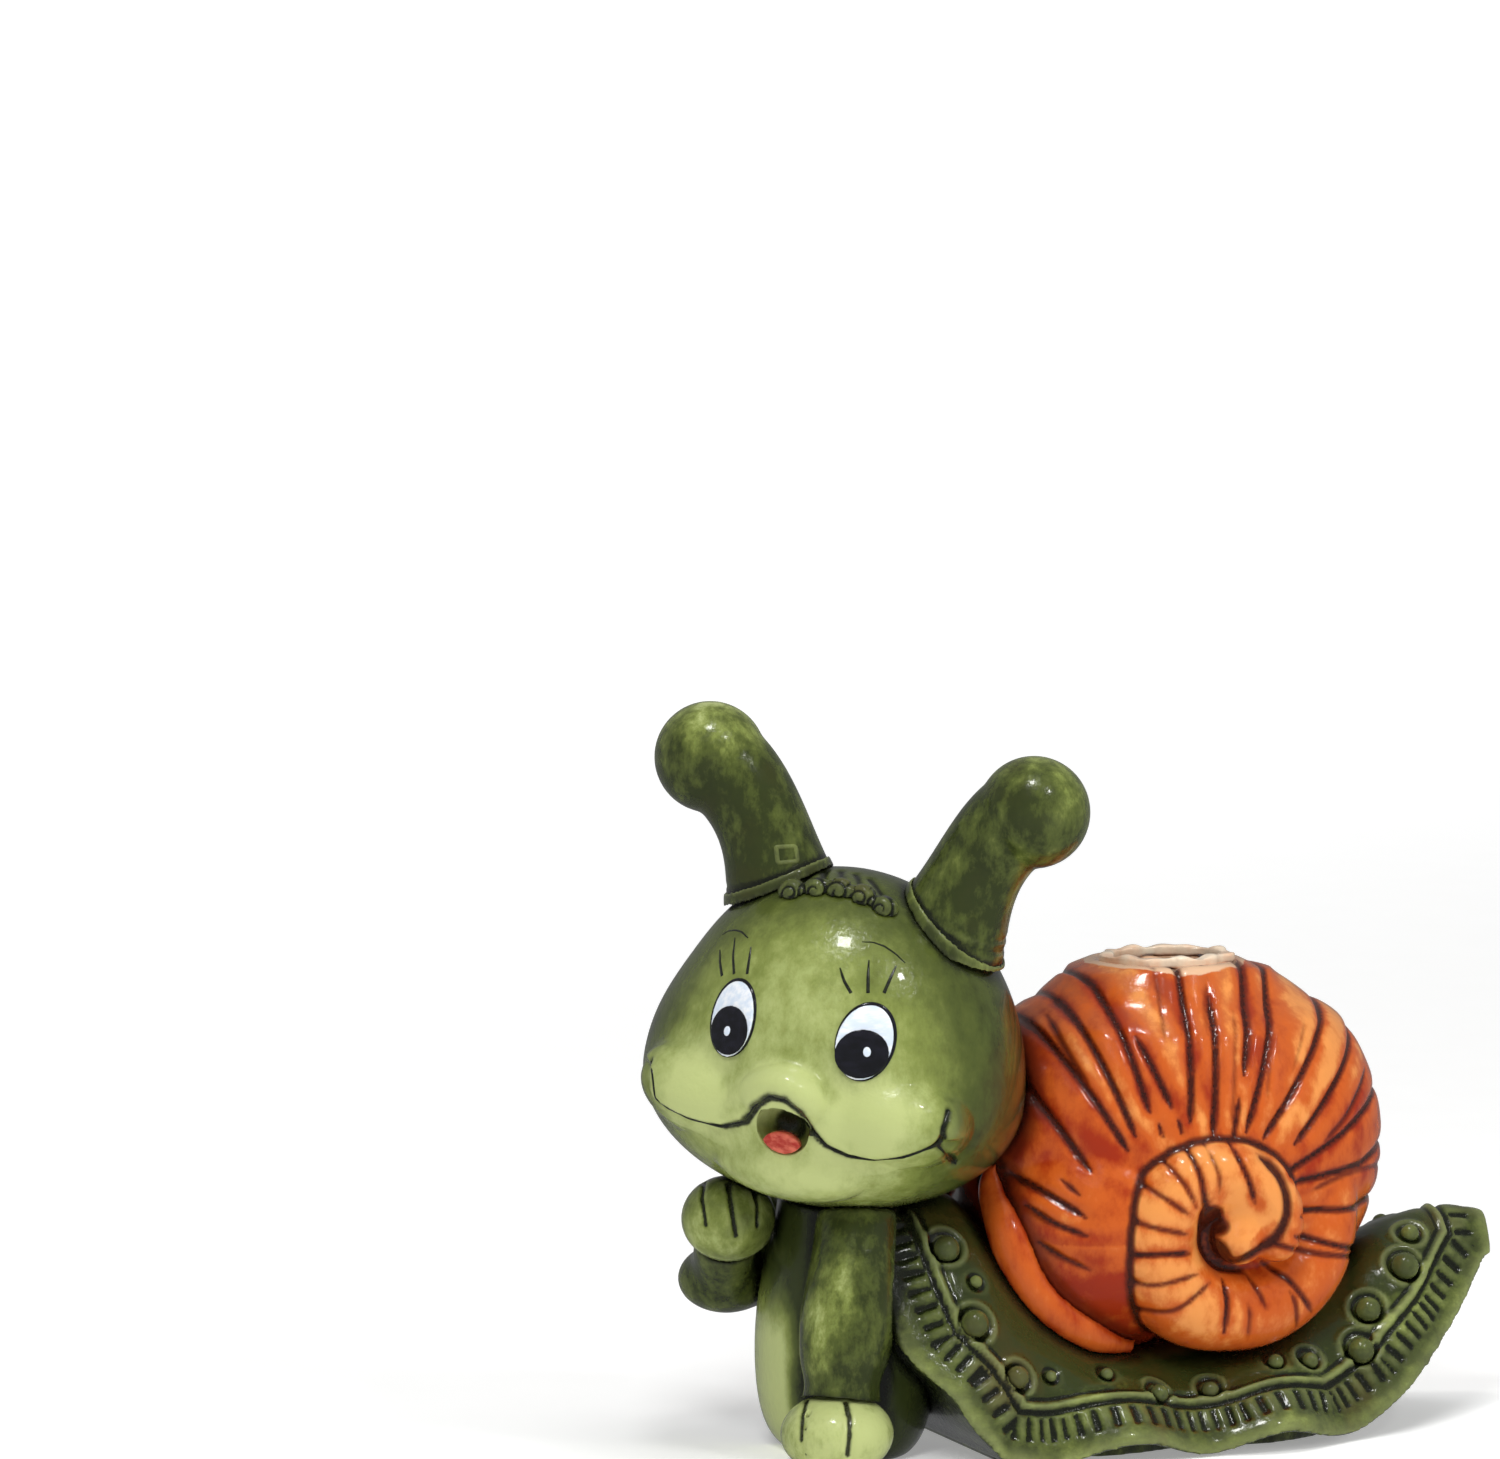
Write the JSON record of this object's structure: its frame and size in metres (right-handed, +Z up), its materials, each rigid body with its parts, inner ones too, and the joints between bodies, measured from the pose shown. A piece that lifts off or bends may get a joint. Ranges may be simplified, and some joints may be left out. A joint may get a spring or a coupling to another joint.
{
  "type": "snail planter",
  "caption": "Glazed ceramic snail figurine whose hollow spiral shell is an open-topped plant pot with a scalloped rim.",
  "frame": {"origin": "centre of the bounding box at the ground", "axes": "+X from the head to the tail, -Y towards the snail's left side, which the picture shows, +Z up"},
  "size_m": [0.2136, 0.0975, 0.1745],
  "materials": {
    "face_glaze": "glossy yellow-green glaze, darker in the creases",
    "mantle_glaze": "glossy mottled olive-green glaze over a black-green wash",
    "belly_glaze": "glossy cream-green glaze",
    "foot_glaze": "dull glaze on the standing face",
    "paw_glaze": "glossy pale yellow-green glaze",
    "shell_glaze": "glossy orange-brown glaze with dark brown in the grooves",
    "lip_glaze": "glossy bright orange-red glaze",
    "rim_glaze": "glossy cream-peach glaze",
    "eye_enamel": "glossy white enamel",
    "pupil_enamel": "glossy black enamel",
    "tongue_glaze": "glossy salmon-red glaze"
  },
  "bodies": {
    "root": {"antenna_cuff_left": "mantle_glaze", "antenna_cuff_right": "mantle_glaze", "antenna_left": "mantle_glaze", "antenna_right": "mantle_glaze", "arm_left": "mantle_glaze", "arm_right": "mantle_glaze", "eye_left": "eye_enamel", "eye_right": "eye_enamel", "hair_curls": "mantle_glaze", "hand_right": "paw_glaze", "head": "face_glaze", "mantle": "mantle_glaze", "mantle_beads": "mantle_glaze", "paw_left": "paw_glaze", "pupil_left": "pupil_enamel", "pupil_right": "pupil_enamel", "shell_coil_left": "shell_glaze", "shell_coil_right": "shell_glaze", "shell_lip_left": "lip_glaze", "shell_lip_right": "lip_glaze", "shell_pot": "shell_glaze", "shell_rim": "rim_glaze", "sole": "foot_glaze", "tongue": "tongue_glaze", "torso": "belly_glaze"}
  },
  "joints": []
}
